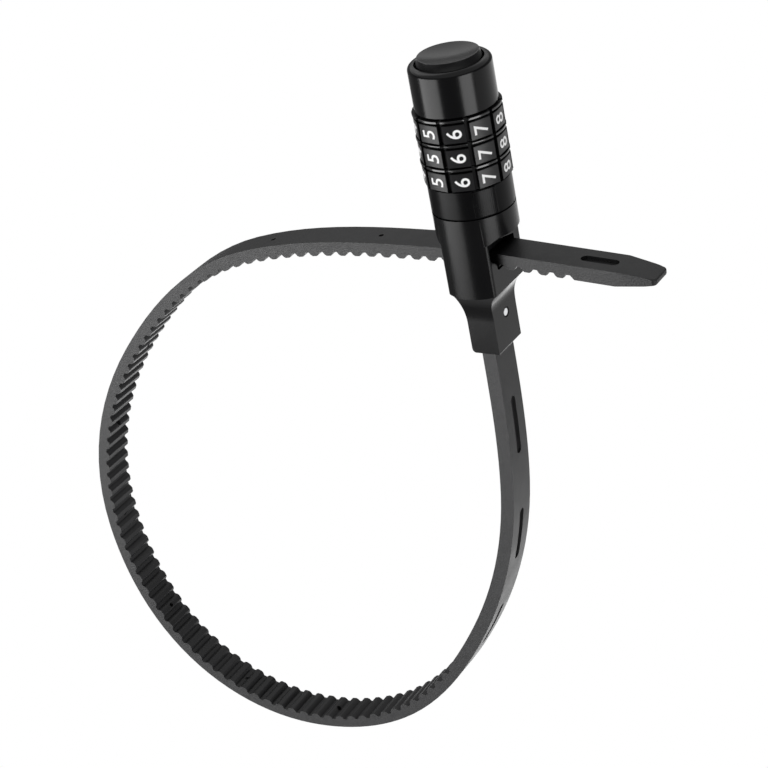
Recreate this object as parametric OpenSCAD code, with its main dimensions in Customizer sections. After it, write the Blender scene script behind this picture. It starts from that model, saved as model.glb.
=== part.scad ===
// Combination strap lock: a ratchet strap with a steel core closes a loop through a
// cylindrical head, and a push button frees it once three digit dials line up.
//
// The head stands along +Z with the button on top. The strap runs through the head along
// +X, its width lies along Y, and its loop hangs in the XZ plane. The origin is the point
// where the head's axis crosses the middle of the strap. Angles round the head are
// counted from -Y towards +X.

/* [Strap] */
// Width of the strap
strap_w = 8.6; // [8:0.1:9]
// Thickness of the strap between its teeth
strap_body_t = 2.5; // [2.3:0.05:2.7]
// Height of the ratchet teeth
tooth_h = 1; // [0.8:0.05:1.1]
// Distance between teeth, along the middle of the strap's body
tooth_pitch = 4.1; // [3.9:0.05:4.4]
// Length of a tooth at its root
tooth_root_l = 3.1; // [2.8:0.05:3.3]
// Length of the flat on top of a tooth
tooth_tip_l = 1.2; // [0.8:0.05:1.4]
// Number of ratchet teeth
tooth_count = 85; // [40:1:86]
// Centre of the last tooth, along the strap from the head axis
last_tooth_x = 21.9; // [21:0.05:22.8]
// Reach of the strap's free end, along the strap from the head axis
tip_reach = 44.6; // [43:0.1:60]
// Angle that the free end dips by after it has passed the pawl
tip_dip = 4.4; // [0:0.2:5]
// Length that the free end tapers over
tip_taper_l = 9.2; // [7:0.1:10]
// Width of the free end at its tip
tip_w = 6.6; // [5:0.1:7.4]
// Thickness of the free end at its tip
tip_t = 1.5; // [1.2:0.1:2]

/* [Strap pockets] */
// Length of the long pockets in the outer face
window_l = 15.5; // [10:0.5:18]
// Width of the long pockets
window_w = 2; // [1.2:0.1:2.6]
// Depth of the long pockets
window_d = 0.75; // [0.4:0.05:0.8]
// Number of long pockets
window_count = 4; // [1:1:4]
// Distance from the tail to the middle of the first long pocket
window_start = 21.6; // [20:0.2:24]
// Distance from one moulding mark to the next
mark_step = 31.4; // [28:0.1:32]
// Diameter of the round moulding marks
mark_d = 1.2; // [0.8:0.1:1.6]
// Depth of the round moulding marks
mark_depth = 0.35; // [0.2:0.05:0.4]
// Length of the opening in the free end
eye_l = 9.2; // [7:0.1:10]
// Width of the opening in the free end
eye_w = 2.6; // [1.6:0.1:3]
// Depth of the opening in the free end
eye_d = 0.9; // [0.5:0.1:1]

/* [Steel core] */
// Width of the steel band inside the strap
core_w = 5.4; // [4:0.1:5.8]
// Thickness of the steel band
core_t = 0.6; // [0.4:0.05:0.65]
// Depth of the steel band under the strap's outer face
core_depth = 1.25; // [1.2:0.05:1.3]

/* [Head] */
// Radius of the lower housing
housing_r = 9.6; // [9.5:0.05:9.65]
// Height of the lower housing's top above the strap
housing_top = 11.3; // [11.2:0.05:12]
// Depth of the lower housing's bottom below the strap
housing_drop = 8.1; // [7.4:0.1:9]
// Distance of the flat where the strap comes out, from the head axis
front_flat = 6.2; // [6:0.05:6.4]
// Height at which that flat ends under the full cylinder
front_flat_top = 4.6; // [4.4:0.1:4.8]
// Height of the cylinder's rim over that flat
front_rim_up = 5.8; // [5.4:0.1:6.2]
// Distance of the flat where the strap goes in, from the head axis
rear_flat = 6.2; // [6:0.05:6.4]
// Radius of the upright corners between the flats and the round
flat_corner_r = 2; // [1:0.1:2.2]
// Height of the foot of the slope above the rear flat
rear_slope_foot = 4.5; // [4:0.1:5]
// Height of the top of that slope
rear_slope_top = 8.2; // [7.5:0.1:9]
// Radius of the index collar
collar_r = 9.6; // [9.5:0.05:9.65]
// Height of the index collar
collar_h = 6.63; // [6:0.01:8]
// Width of the groove between the collar and the housing
parting_gap = 0.35; // [0.2:0.05:0.4]
// Angle of the index line round the head
index_angle = 48.5; // [40:0.5:70]
// Angle that the ribbed index plate spans
index_span = 32.5; // [24:0.5:40]

/* [Tail] */
// Depth of the tail's bottom below the strap
tail_drop = 24.4; // [23.5:0.1:26]
// Offset of the tail from the head axis, towards the strap's free end
tail_x = -0.2; // [-0.3:0.05:0.5]
// Thickness of the tail
tail_t = 7.1; // [6.6:0.1:7.4]
// Width of the tail
tail_w = 10.8; // [10.6:0.1:11.6]
// Height of the hollow under the front flat
front_neck_h = 5.3; // [4:0.1:8]
// Height of the hollow under the rear flat
rear_neck_h = 8.6; // [5:0.1:9]
// Height of the hollows at the tail's sides
side_neck_h = 7.8; // [5:0.1:9]
// Amount that the tail's sides flare out by up to the housing
side_flare = 1.5; // [0.5:0.1:1.5]
// Radius of the tail's bottom corners
tail_corner_r = 1.3; // [0.6:0.1:2]
// Radius of its other bottom edges
tail_edge_r = 0.4; // [0.2:0.1:0.8]
// Length of strap held inside the tail
strap_grip_l = 11.6; // [10:0.1:12]
// Diameter of the pin through the strap's fixed end
strap_pin_d = 2; // [1.6:0.1:2.2]
// Height of that pin above the tail's bottom
strap_pin_up = 8.4; // [7:0.1:9]
// Offset of that pin across the strap
strap_pin_y = 0.5; // [-0.6:0.1:0.6]
// Diameter of the sunk ring round that pin
pin_ring_d = 2.5; // [2.3:0.1:3]

/* [Dials] */
// Number of digits on a dial
digit_count = 10; // [10:1:10]
// Height of one dial
dial_h = 5.5; // [5.3:0.05:5.8]
// Gap between neighbouring dials
dial_gap = 0.2; // [0.18:0.01:0.3]
// Distance of the digit pads from the head axis
pad_apothem = 9.75; // [9.7:0.05:9.9]
// Height of the flange on top of a dial
flange_h = 0.45; // [0.4:0.05:0.6]
// Radius of that flange
flange_r = 10.15; // [10.1:0.05:10.5]
// Height of the groove between the flange and the pads
neck_groove_h = 0.6; // [0.3:0.05:0.7]
// Height of the relief under the pads
relief_h = 0.15; // [0.1:0.05:0.35]
// Width of the grooves between the pads
groove_w = 0.95; // [0.6:0.05:1.1]
// Radius at the bottom of those grooves
groove_floor_r = 9.2; // [9:0.05:9.4]
// Angle of the first groove round the head
groove_angle = 4.4; // [0:0.2:36]
// Radius inside a dial, where its code wheel sits
dial_bore_r = 7.6; // [7.4:0.05:7.8]

/* [Cap and button] */
// Radius of the cap
cap_r = 9.45; // [9.4:0.05:9.8]
// Height of the cap
cap_h = 10.4; // [10.2:0.1:11.4]
// Radius of the cap's rounded top edge
cap_edge_r = 1.2; // [0.4:0.1:1.4]
// Thickness of the lip that holds the button down
cap_lip_h = 1.6; // [1.4:0.1:2]
// Radius of the push button at its foot
button_r = 7.5; // [7.4:0.05:7.6]
// Radius of the push button at its top
button_rim_r = 7; // [6.9:0.05:7.2]
// Height of the button above the cap
button_proud = 1.5; // [1.4:0.05:2.2]
// Travel of the push button
button_travel = 1.6; // [1.4:0.05:1.6]
// Depth of the dish in the button
button_dish = 0.8; // [0.4:0.05:1]
// Clear gap round the button
button_gap = 0.35; // [0.25:0.05:0.4]

/* [Lock core] */
// Radius of the core tube that the code wheels turn on
core_tube_r = 4.6; // [4.5:0.05:4.7]
// Radius of the spindle under the button
spindle_r = 2.2; // [2:0.05:2.3]
// Reach of the spindle's fins from the head axis
fin_reach = 5.7; // [5.5:0.05:5.8]
// Width of the spindle's fins
fin_w = 1.4; // [1.2:0.1:1.6]
// Height of each fin
fin_h = 1.2; // [1:0.05:1.3]
// Thickness of the gated web in a code wheel
web_h = 1.6; // [1.5:0.05:1.7]
// Height of that web above the dial's bottom
web_up = 0.6; // [0.5:0.05:0.7]

/* [Ratchet] */
// Length of the pawl along the strap
pawl_l = 5.8; // [5:0.1:6]
// Thickness of the pawl's body
pawl_h = 2.4; // [2.2:0.1:2.5]
// Length of the pawl's side wings along the strap
wing_l = 3.6; // [3:0.1:4]
// Thickness of the release fork's legs
fork_leg_t = 1.1; // [1:0.05:1.1]
// Length of the fork's legs along the strap
fork_leg_l = 5; // [4:0.1:5]
// Wire of the pawl spring
pawl_wire = 0.4; // [0.3:0.05:0.45]
// Wire of the button spring
button_wire = 0.7; // [0.5:0.05:0.75]

/* [Clearances] */
// Radial running clearance of a turning or sliding fit
run_fit = 0.08; // [0.03:0.01:0.1]
// Slack round a piece that is set in place and stays there
set_fit = 0.05; // [0.02:0.01:0.08]
// Room round the strap and round the release parts
free_gap = 0.3; // [0.2:0.05:0.35]

/* [Hidden] */
$fn = 96;

// A cut reaches this far past the face that it opens
cut_over = 1;
far = 40;

// ---- strap: places across its thickness, and along its route ----
strap_t = strap_body_t + tooth_h;
strap_top = strap_t / 2;
strap_root = strap_top - strap_body_t;
pitch_depth = strap_body_t / 2;
slot_entry_x = -rear_flat - 0.4;
// The strap bends down over this length to each side of the place where its dip starts
dip_x = 0.35;
dip_bend_l = 2.85;
tail_exit_x = tail_x + strap_t / 2;
pin_ring_h = 0.4;

// A place on the outer face of the dipping free end
function dip_point(l) = [dip_x + l * cos(tip_dip), strap_top - l * sin(tip_dip)];
// Outer face of the strap, as [x, z, heading], from the tail round the loop and through the head
route_knots = [
    [tail_exit_x, -tail_drop, -90],
    [-0.4, -64.4, -98],
    [-16, -107.2, -121.5],
    [-46.1, -139.7, -149.5],
    [-78.1, -148.6, -178.8],
    [-115.3, -134.1, -224.8],
    [-131.9, -92.7, -267.3],
    [-109.6, -35, -310.8],
    [-65.8, -3.7, -344.1],
    [slot_entry_x, strap_top, -360],
    [dip_x - dip_bend_l, strap_top, -360],
    concat(dip_point(dip_bend_l), [-360 - tip_dip])
];
span_steps = 12;

function unit(a) = [cos(a), sin(a)];
function inward(a) = [sin(a), -cos(a)];
function point_of(k) = [k[0], k[1]];
// Handle length that bends a span closest to an arc
function handle(a, b) =
    norm(point_of(b) - point_of(a)) / (3 * pow(cos((b[2] - a[2]) / 4), 2));
function cubic(p, q, r, s, t) =
    pow(1 - t, 3) * p + 3 * pow(1 - t, 2) * t * q + 3 * (1 - t) * t * t * r + pow(t, 3) * s;
function cubic_slope(p, q, r, s, t) =
    3 * pow(1 - t, 2) * (q - p) + 6 * (1 - t) * t * (r - q) + 3 * t * t * (s - r);
function span_station(a, b, t) =
    let (
        h = handle(a, b),
        p = point_of(a),
        s = point_of(b),
        q = p + h * unit(a[2]),
        r = s - h * unit(b[2]),
        d = cubic_slope(p, q, r, s, t)
    )
    [cubic(p, q, r, s, t), [d[1], -d[0]] / norm(d)];

// Stations [outer point, inward normal], from the gripped end to the free end
route = concat(
    [[[tail_exit_x, -tail_drop + strap_grip_l], inward(-90)]],
    [for (k = [0:len(route_knots) - 2], i = [0:span_steps - 1])
        span_station(route_knots[k], route_knots[k + 1], i / span_steps)],
    [for (l = [dip_bend_l, tip_reach - dip_x]) [dip_point(l), inward(-tip_dip)]]
);
function at_depth(station, depth) = station[0] + depth * station[1];
// Length along the pitch line, counted from the tail's bottom
lengths = [for (
    i = 0, s = -strap_grip_l;
    i < len(route);
    s = i + 1 < len(route)
        ? s + norm(at_depth(route[i + 1], pitch_depth) - at_depth(route[i], pitch_depth)) : s,
    i = i + 1
) s];
strap_end = lengths[len(lengths) - 1];
px = [for (i = [0:len(route) - 1]) [lengths[i], route[i][0][0]]];
pz = [for (i = [0:len(route) - 1]) [lengths[i], route[i][0][1]]];
nx = [for (i = [0:len(route) - 1]) [lengths[i], route[i][1][0]]];
nz = [for (i = [0:len(route) - 1]) [lengths[i], route[i][1][1]]];
function strap_point(s, depth) =
    let (n = [lookup(s, nx), lookup(s, nz)])
    [lookup(s, px), lookup(s, pz)] + depth * n / norm(n);
// A place on the straight free end, as a length along the strap
function free_end(x) = strap_end - tip_reach + x;

last_tooth_s = free_end(last_tooth_x);
first_tooth_s = last_tooth_s - (tooth_count - 1) * tooth_pitch;
taper_start = strap_end - tip_taper_l;
shoulder_l = (tooth_root_l + tooth_tip_l) / 2;
shoulder_h = 0.7 * tooth_h;
// One tooth as [length from its centre, height]
tooth_profile = [
    [-tooth_root_l / 2, 0], [-shoulder_l / 2, shoulder_h], [-tooth_tip_l / 2, tooth_h],
    [tooth_tip_l / 2, tooth_h], [shoulder_l / 2, shoulder_h], [tooth_root_l / 2, 0]
];
toothed_from = first_tooth_s - tooth_pitch;
wedge_from = last_tooth_s + tooth_pitch;

// ---- heights up the head ----
dial_pitch = dial_h + dial_gap;
collar_bottom = housing_top + parting_gap;
collar_top = collar_bottom + collar_h;
dial_bottom = [for (k = [0:2]) collar_top + dial_gap + (2 - k) * dial_pitch];
cap_bottom = dial_bottom[0] + dial_h + dial_gap;
cap_top = cap_bottom + cap_h;
button_top = cap_top + button_proud;
web_bottom = [for (k = [0:2]) dial_bottom[k] + web_up];
// The pressed fins stop just above the gated webs, so that the button can go down at any number
fin_stop_gap = 0.2;
fin_bottom = [for (k = [0:2]) web_bottom[k] + web_h + button_travel + fin_stop_gap];

// ---- lock core ----
wheel_bore_r = core_tube_r + run_fit;
gate_reach = fin_reach + free_gap;
wheel_r = dial_bore_r - set_fit;
tube_flange_r = housing_r - 2.25;
tube_flange_t = 1.6;
tube_flange_bottom = housing_top - tube_flange_t;
fork_bore_r = tube_flange_r - free_gap;
cap_base_t = 1.7;
ring_t = 0.7;
ring_bottom = cap_bottom + cap_base_t;
tube_top = ring_bottom + ring_t + 1.5;
key_w = fin_w + free_gap;
key_bottom = fin_bottom[2] - button_travel - free_gap;
clip_w = 2;
clip_t = 0.3;
clip_bed_r = core_tube_r - 0.7;
bump_w = 0.7;
bump_l = 1.2;
notch_r = 0.6;

// ---- button ----
cap_cavity_r = cap_r - 1.05;
lip_bottom = cap_top - cap_lip_h;
button_flange_t = 1.6;
button_flange_top = lip_bottom - 0.2;
button_bottom = button_flange_top - button_flange_t;
button_flange_r = cap_cavity_r - 0.15;
button_ceiling = button_top - button_dish - 2;
button_hollow_r = button_r - 0.9;
boss_r = 3.2;
boss_bottom = tube_top + button_travel + free_gap;
spindle_nose_r = spindle_r - 0.6;
spindle_nose_top = button_ceiling - 0.4;

// ---- ratchet ----
chamber_l = pawl_l + 2 * 0.4;
leg_inner = strap_w / 2 + 0.55;
leg_outer = leg_inner + fork_leg_t;
chamber_w = 2 * (leg_outer + 0.25);
chamber_floor = -housing_drop + 1.2;
fork_disc_t = 1.4;
fork_disc_bottom = tube_flange_bottom - free_gap - fork_disc_t;
fork_disc_r = fork_bore_r - 0.2;
fork_disc_half_l = 4.8;
chamber_top = fork_disc_bottom - button_travel - free_gap;
pawl_travel_ratio = 0.9;
pawl_top = -strap_t / 2 - 0.28;
wing_top = pawl_top - 0.4;
pawl_bottom = pawl_top - pawl_h;
leg_bottom = wing_top + free_gap;
tooth_play = 0.12;
// The gap between teeth that lies inside the head
pawl_tooth_x = last_tooth_x - tooth_pitch / 2 - 5 * tooth_pitch;
pawl_bore_top = pawl_top - 0.9;
coil_steps = 8;
coil_sides = 6;
pawl_turns = 3;
button_turns = 5;
pawl_coil_r = 1.5;
pawl_bore_r = pawl_coil_r + pawl_wire / 2 + 0.4;
button_coil_r = 5.5;

window_half_w = strap_w / 2 + free_gap;
window_bottom = -strap_t / 2 - free_gap - 0.45;
window_top = strap_t / 2 + free_gap;
mouth_depth = 1.5;
mouth_reach = strap_w / 2 + 2.6;

// ---- small helpers ----
module turn_to(a) {
    rotate([0, 0, a - 90]) children();
}
module ring(r_out, r_in, bottom, h) {
    translate([0, 0, bottom]) difference() {
        cylinder(r = r_out, h = h);
        translate([0, 0, -cut_over]) cylinder(r = r_in, h = h + 2 * cut_over);
    }
}
// Extrudes an outline of the XZ plane to both sides of it
module along_y(width) {
    rotate([90, 0, 0]) linear_extrude(height = width, center = true) children();
}
// Extrudes an outline of the YZ plane from x to x + length
module along_x(x, length) {
    translate([x, 0, 0]) rotate([90, 0, 90]) linear_extrude(height = length) children();
}
// Puts a piece on the strap's outer face, x along the strap and z outwards
module on_strap(s) {
    p = strap_point(s, 0);
    n = [lookup(s, nx), lookup(s, nz)];
    translate([p[0], 0, p[1]]) rotate([0, atan2(-n[0], -n[1]), 0]) children();
}
module stadium(length, width, depth) {
    linear_extrude(height = depth) union() {
        square([length - width, width], center = true);
        for (side = [-1, 1])
            translate([side * (length - width) / 2, 0]) circle(d = width, $fn = 32);
    }
}
function arc(c, r, a, b, steps) =
    [for (i = [0:steps]) c + r * unit(a + (b - a) * i / steps)];

// ---- strap ----
module strap_outline() {
    wedge_rise = (strap_t - tip_t) / 2;
    outer = [for (i = [0:len(route) - 2]) route[i][0]];
    teeth = [for (k = [tooth_count - 1:-1:0], i = [len(tooth_profile) - 1:-1:0])
        strap_point(first_tooth_s + k * tooth_pitch + tooth_profile[i][0],
            strap_body_t + tooth_profile[i][1])];
    plain_end = toothed_from + tooth_root_l / 2;
    plain_side = [for (i = [len(route) - 1:-1:0]) if (lengths[i] < plain_end - tooth_h)
        at_depth(route[i], strap_t)];
    polygon(concat(
        outer,
        [strap_point(taper_start, 0)],
        [strap_point(strap_end, wedge_rise), strap_point(strap_end, strap_t - wedge_rise)],
        [strap_point(taper_start, strap_t)],
        [strap_point(wedge_from - tooth_tip_l / 2, strap_t)],
        [strap_point(wedge_from - tooth_root_l / 2, strap_body_t)],
        teeth,
        [strap_point(plain_end, strap_body_t)],
        [strap_point(plain_end - (tooth_root_l - tooth_tip_l) / 2, strap_t)],
        plain_side
    ));
}
// Outline of the steel band, or of the channel round it, grown by play
module band_outline(play) {
    end = free_end(last_tooth_x);
    inside = [for (i = [0:len(route) - 1]) if (lengths[i] < end - tooth_pitch) i];
    polygon(concat(
        [for (i = inside) at_depth(route[i], core_depth - play)],
        [strap_point(end + play, core_depth - play),
            strap_point(end + play, core_depth + core_t + play)],
        [for (k = [len(inside) - 1:-1:0])
            at_depth(route[inside[k]], core_depth + core_t + play)]
    ));
}
// The sides start to draw in a little before the faces do
module tip_trim() {
    trim_l = tip_taper_l + 0.5;
    trim = (strap_w - tip_w) / 2;
    on_strap(strap_end - trim_l) for (side = [-1, 1])
        translate([0, 0, -strap_t - cut_over])
            linear_extrude(height = strap_t + 2 * cut_over)
                polygon([
                    [0, side * strap_w / 2],
                    [trim_l + cut_over, side * (tip_w / 2 - trim * cut_over / trim_l)],
                    [trim_l + cut_over, side * strap_w],
                    [0, side * strap_w]
                ]);
}
module strap_pin_hole(d) {
    translate([tail_x - tail_t, strap_pin_y, -tail_drop + strap_pin_up])
        rotate([0, 90, 0]) cylinder(d = d, h = 2 * tail_t);
}
module strap() {
    color("#2b2b2c") difference() {
        along_y(strap_w) strap_outline();
        along_y(core_w + 2 * set_fit) band_outline(set_fit);
        translate([tail_exit_x - strap_t, -core_w / 2 - set_fit, -tail_drop + strap_grip_l - 0.5])
            cube([strap_t / 2, core_w + 2 * set_fit, cut_over]);
        tip_trim();
        strap_pin_hole(strap_pin_d + 2 * set_fit);
        for (k = [0:window_count - 1])
            on_strap(window_start + k * mark_step)
                translate([0, 0, -window_d]) stadium(window_l, window_w, far / 8);
        for (s = [free_end(-26.4) : -mark_step : window_start + window_count * mark_step])
            on_strap(s) translate([0, 0, -mark_depth]) cylinder(d = mark_d, h = 1, $fn = 24);
        for (s = [first_tooth_s + 11.7 * tooth_pitch : mark_step : free_end(-80)])
            on_strap(s) translate([0, 0, -strap_body_t - tooth_h - 1])
                cylinder(d = mark_d, h = tooth_h + 1 + mark_depth, $fn = 24);
        on_strap(taper_start - eye_l / 2 - 0.9) translate([0, 0, -eye_d])
            stadium(eye_l, eye_w, cut_over + eye_d);
    }
}
module strap_core() {
    color("#8f9296") difference() {
        along_y(core_w) band_outline(0);
        strap_pin_hole(strap_pin_d + 2 * set_fit);
    }
}

// ---- lower housing ----
// Length of the level part under the rim; between it and the front flat the underside slopes
rim_level_l = 1.4;
module housing_side() {
    polygon([
        [-housing_r - cut_over, housing_top],
        [-housing_r - cut_over, rear_slope_top + cut_over],
        [-housing_r, rear_slope_top],
        [-rear_flat, rear_slope_foot],
        [-rear_flat, -housing_drop],
        [front_flat, -housing_drop],
        [front_flat, front_flat_top],
        [housing_r - rim_level_l, front_rim_up],
        [housing_r + cut_over, front_rim_up],
        [housing_r + cut_over, housing_top]
    ]);
}
// Radius of a hollow that leaves a wall upright and reaches out by d over a height h
function neck_radius(d, h) = (d * d + h * h) / (2 * d);
module tail_side() {
    front = tail_x + tail_t / 2;
    rear = tail_x - tail_t / 2;
    rf = neck_radius(front_flat - front, front_neck_h);
    rr = neck_radius(rear + rear_flat, rear_neck_h);
    bottom = -tail_drop;
    root = -housing_drop;
    polygon(concat(
        [[front_flat, root + cut_over]],
        arc([front + rf, root - front_neck_h], rf, 180 - asin(front_neck_h / rf), 180, 10),
        arc([front - tail_edge_r, bottom + tail_edge_r], tail_edge_r, 0, -90, 4),
        arc([rear + tail_corner_r, bottom + tail_corner_r], tail_corner_r, -90, -180, 7),
        arc([rear - rr, root - rear_neck_h], rr, 0, asin(rear_neck_h / rr), 12),
        [[-rear_flat, root + cut_over]]
    ));
}
module tail_front() {
    half = tail_w / 2;
    bottom = -tail_drop;
    root = -housing_drop;
    r = neck_radius(side_flare, side_neck_h);
    low = root - side_neck_h;
    polygon(concat(
        [[half + side_flare, root + cut_over]],
        arc([half + r, low], r, 180 - asin(side_neck_h / r), 180, 8),
        arc([half - tail_edge_r, bottom + tail_edge_r], tail_edge_r, 0, -90, 4),
        arc([-half + tail_edge_r, bottom + tail_edge_r], tail_edge_r, -90, -180, 4),
        arc([-half - r, low], r, 0, asin(side_neck_h / r), 8),
        [[-half - side_flare, root + cut_over]]
    ));
}
// Mouth that the strap leaves by, open wider to one side, as an outline of the YZ plane
module mouth_outline() {
    foot = strap_w / 2 - 0.1;
    polygon([
        [-foot, window_bottom - 0.25], [foot, window_bottom - 0.25],
        [window_half_w, -0.3], [window_half_w, window_top + 0.35],
        [-0.6 * mouth_reach, front_flat_top], [-mouth_reach, front_flat_top],
        [-mouth_reach, 0.9], [-window_half_w, -1]
    ]);
}
// A round disc with two straight sides, so that it stays clear of the housing's slopes
module fork_disc_shape(r, half_l, bottom, h) {
    translate([0, 0, bottom]) intersection() {
        cylinder(r = r, h = h);
        translate([-half_l, -r, 0]) cube([2 * half_l, 2 * r, h]);
    }
}
// Section of the stuff outside a rounded upright corner, on the +X +Y side
function corner_waste(flat) =
    let (
        cx = flat - flat_corner_r,
        cy = sqrt(pow(housing_r - flat_corner_r, 2) - cx * cx),
        turn = atan2(cy, cx)
    )
    concat(
        [[flat + cut_over, cy]],
        arc([cx, cy], flat_corner_r, 0, turn, 10),
        [(housing_r + cut_over) * unit(turn), [flat + cut_over, housing_r + cut_over]]
    );
module drum() {
    difference() {
        intersection() {
            translate([0, 0, -housing_drop]) cylinder(r = housing_r, h = housing_top + housing_drop);
            along_y(far) housing_side();
        }
        for (y_side = [0, 1]) mirror([0, y_side, 0]) {
            translate([0, 0, -far]) linear_extrude(height = far + front_flat_top)
                polygon(corner_waste(front_flat));
            mirror([1, 0, 0]) translate([0, 0, -far]) linear_extrude(height = far + rear_slope_foot)
                polygon(corner_waste(rear_flat));
        }
    }
}
module lower_housing() {
    grip_w = strap_w + 2 * set_fit;
    grip_t = strap_t + 2 * set_fit;
    color("#1b1b1c") difference() {
        union() {
            drum();
            intersection() {
                along_y(far) tail_side();
                along_x(-far / 2, far) tail_front();
                translate([0, 0, -far]) cylinder(r = housing_r, h = far);
            }
        }
        // Seat of the core tube, bore of the fork disc and chamber of the pawl
        translate([0, 0, tube_flange_bottom]) cylinder(r = tube_flange_r + set_fit, h = far);
        fork_disc_shape(fork_bore_r, fork_disc_half_l + 0.2, chamber_top, far);
        translate([-chamber_l / 2, -chamber_w / 2, chamber_floor])
            cube([chamber_l, chamber_w, chamber_top - chamber_floor + cut_over]);
        // Way through for the strap
        translate([-housing_r, -window_half_w, window_bottom])
            cube([2 * housing_r, 2 * window_half_w, window_top - window_bottom]);
        along_x(front_flat - mouth_depth, far) mouth_outline();
        // Socket and pin hole of the strap's fixed end
        translate([tail_x - grip_t / 2, -grip_w / 2, -tail_drop - cut_over])
            cube([grip_t, grip_w, strap_grip_l + set_fit + cut_over]);
        translate([tail_x - tail_t / 2 + 1, strap_pin_y, -tail_drop + strap_pin_up])
            rotate([0, 90, 0]) cylinder(d = strap_pin_d + 2 * set_fit, h = tail_t);
        translate([tail_x + tail_t / 2 - pin_ring_h, strap_pin_y, -tail_drop + strap_pin_up])
            rotate([0, 90, 0]) cylinder(d = pin_ring_d, h = cut_over + pin_ring_h);
        collar_screw_places() translate([0, 0, housing_top - screw_grip])
            cylinder(r = screw_r + set_fit, h = far, $fn = 32);
    }
}
module strap_pin() {
    start = tail_x - tail_t / 2 + 1 + set_fit;
    color("#d8dade") translate([start, strap_pin_y, -tail_drop + strap_pin_up]) rotate([0, 90, 0])
        cylinder(d = strap_pin_d, h = tail_t - 1 - 2 * set_fit);
}

// ---- ratchet ----
module pawl_tooth() {
    gap_root = (tooth_pitch - tooth_root_l) / 2;
    gap_shoulder = (tooth_pitch - shoulder_l) / 2;
    gap_tip = (tooth_pitch - tooth_tip_l) / 2;
    polygon([
        [-gap_tip + tooth_play, pawl_top - set_fit],
        [-gap_tip + tooth_play, strap_root - tooth_h - tooth_play],
        [-gap_shoulder + tooth_play, strap_root - shoulder_h - tooth_play],
        [-gap_root + tooth_play, strap_root - 2 * tooth_play],
        [gap_root - tooth_play, strap_root - 2 * tooth_play],
        [gap_shoulder - tooth_play, strap_root - shoulder_h - tooth_play],
        [gap_tip - tooth_play, strap_root - tooth_h - tooth_play],
        [gap_tip - tooth_play, pawl_top - set_fit]
    ]);
}
module pawl() {
    body_w = 2 * leg_inner - 2 * 0.85;
    color("#9a9da1") difference() {
        union() {
            translate([-pawl_l / 2, -body_w / 2, pawl_bottom]) cube([pawl_l, body_w, pawl_h]);
            translate([-wing_l / 2, -leg_outer, pawl_bottom])
                cube([wing_l, 2 * leg_outer, wing_top - pawl_bottom]);
            translate([pawl_tooth_x, 0, 0]) along_y(body_w) pawl_tooth();
        }
        translate([0, 0, pawl_bottom - cut_over])
            cylinder(r = pawl_bore_r, h = pawl_bore_top - pawl_bottom + cut_over, $fn = 48);
    }
}
// Centre line of a compression spring, with a straight end one wire long at each end
function coil_point(r, bottom, top, turns, i, n) =
    [r * cos(360 * turns * i / n), r * sin(360 * turns * i / n), bottom + (top - bottom) * i / n];
function coil_line(r, bottom, top, turns, wire) =
    let (
        n = turns * coil_steps,
        first = coil_point(r, bottom, top, turns, 0, n),
        last = coil_point(r, bottom, top, turns, n, n)
    )
    concat(
        [first + [0, -wire, 0]],
        [for (i = [0:n]) coil_point(r, bottom, top, turns, i, n)],
        [last + [0, wire, 0]]
    );
module coil(r, wire, bottom, top, turns, label) {
    line = coil_line(r, bottom + wire / 2, top - wire / 2, turns, wire);
    n = len(line);
    rings = [for (i = [0:n - 1])
        let (
            a = line[max(i - 1, 0)],
            b = line[min(i + 1, n - 1)],
            t = (b - a) / norm(b - a),
            u = cross([0, 0, 1], t) / norm(cross([0, 0, 1], t)),
            v = cross(t, u)
        )
        for (k = [0:coil_sides - 1])
            line[i] + wire / 2 * (cos(360 * k / coil_sides) * u + sin(360 * k / coil_sides) * v)];
    last = (n - 1) * coil_sides;
    echo(str(label, " least gap"), min([for (i = [0:n - 1], j = [i + coil_steps - 2:1:n - 1])
        norm(line[i] - line[j]) - wire]));
    polyhedron(
        points = rings,
        faces = concat(
            [for (k = [1:coil_sides - 2]) [0, k, k + 1]],
            [for (k = [1:coil_sides - 2]) [last, last + k + 1, last + k]],
            [for (i = [0:n - 2], k = [0:coil_sides - 1])
                let (a = i * coil_sides + k, b = i * coil_sides + (k + 1) % coil_sides)
                [a, a + coil_sides, b]],
            [for (i = [0:n - 2], k = [0:coil_sides - 1])
                let (a = i * coil_sides + k, b = i * coil_sides + (k + 1) % coil_sides)
                [b, a + coil_sides, b + coil_sides]]
        )
    );
}
module pawl_spring() {
    color("#c9ccd0") coil(pawl_coil_r, pawl_wire, chamber_floor, pawl_bore_top, pawl_turns, "pawl spring");
}
module release_fork() {
    color("#9a9da1") union() {
        difference() {
            fork_disc_shape(fork_disc_r, fork_disc_half_l, fork_disc_bottom, fork_disc_t);
            translate([0, 0, fork_disc_bottom - cut_over])
                cylinder(r = spindle_nose_r + set_fit, h = fork_disc_t + 2 * cut_over);
        }
        for (side = [-1, 1])
            translate([-fork_leg_l / 2, side > 0 ? leg_inner : -leg_outer, leg_bottom])
                cube([fork_leg_l, fork_leg_t, fork_disc_bottom - leg_bottom]);
    }
}

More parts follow.
